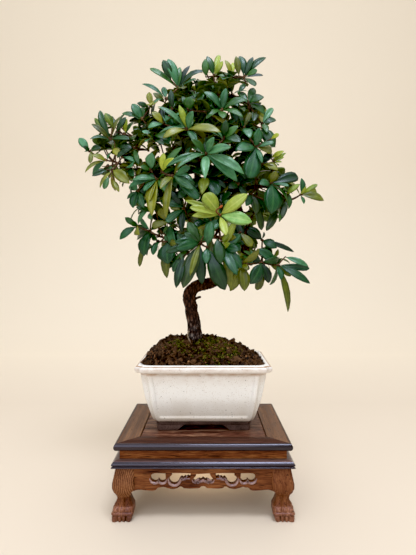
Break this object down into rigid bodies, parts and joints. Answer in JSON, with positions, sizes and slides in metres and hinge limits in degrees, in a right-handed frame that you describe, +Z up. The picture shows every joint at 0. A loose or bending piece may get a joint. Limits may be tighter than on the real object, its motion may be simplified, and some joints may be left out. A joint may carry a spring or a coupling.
{
  "type": "scarlet firethorn bonsai",
  "caption": "Small evergreen firethorn trained as a bonsai, in a filled rectangular glazed pot that rests on a low carved wooden stand with paw feet",
  "frame": {"origin": "On the floor, under the middle of the stand", "axes": "+Z up, +Y from the viewer's side to the back, +X to the viewer's right"},
  "size_m": [0.4088, 0.2585, 0.7285],
  "materials": {
    "frame_wood": "satin",
    "panel_wood": "satin",
    "carved_wood": "satin",
    "glaze": "gloss",
    "drain_mesh": "matte",
    "soil": "matte",
    "bark": "matte",
    "leaf": "satin",
    "young_leaf": "satin"
  },
  "bodies": {
    "root": {"top_rail_front": "frame_wood", "top_rail_right": "frame_wood", "top_rail_back": "frame_wood", "top_rail_left": "frame_wood", "top_panel": "panel_wood", "waist_board_front": "carved_wood", "waist_board_right": "carved_wood", "waist_board_back": "carved_wood", "waist_board_left": "carved_wood", "moulding_front": "frame_wood", "moulding_right": "frame_wood", "moulding_back": "frame_wood", "moulding_left": "frame_wood", "apron_front": "carved_wood", "apron_right": "carved_wood", "apron_back": "carved_wood", "apron_left": "carved_wood", "leg_front_left": "carved_wood", "leg_front_right": "carved_wood", "leg_back_left": "carved_wood", "leg_back_right": "carved_wood", "pot": "glaze", "drain_mesh_left": "drain_mesh", "drain_mesh_right": "drain_mesh", "soil": "soil", "trunk_and_branches": "bark", "spray_left_tip": "leaf", "spray_left_star": "leaf", "spray_left_under": "leaf", "spray_left_dark": "leaf", "spray_left_pale": "leaf", "spray_upper_left": "leaf", "spray_crown_left": "leaf", "spray_crown_top": "leaf", "spray_front_top": "leaf", "spray_upper_front": "leaf", "spray_front_star": "leaf", "spray_left_front_star": "leaf", "spray_right_crown": "leaf", "spray_right_middle": "leaf", "spray_right_young": "leaf", "spray_right_branch": "leaf", "spray_right_tip": "leaf", "spray_right_hanging": "leaf", "spray_young_front": "young_leaf", "spray_middle_front": "leaf", "spray_left_inner": "leaf", "spray_lower_front": "leaf", "spray_lower_front_right": "leaf", "spray_lower_left_tip": "leaf", "spray_lower_left": "leaf", "spray_lower_right_upper": "leaf", "spray_lower_right_tip": "leaf", "spray_lower_right": "leaf", "spray_back_top": "leaf", "spray_back_left_upper": "leaf", "spray_back_upper": "leaf", "spray_back_left": "leaf", "spray_back_middle": "leaf", "spray_back_right": "leaf"}
  },
  "joints": []
}
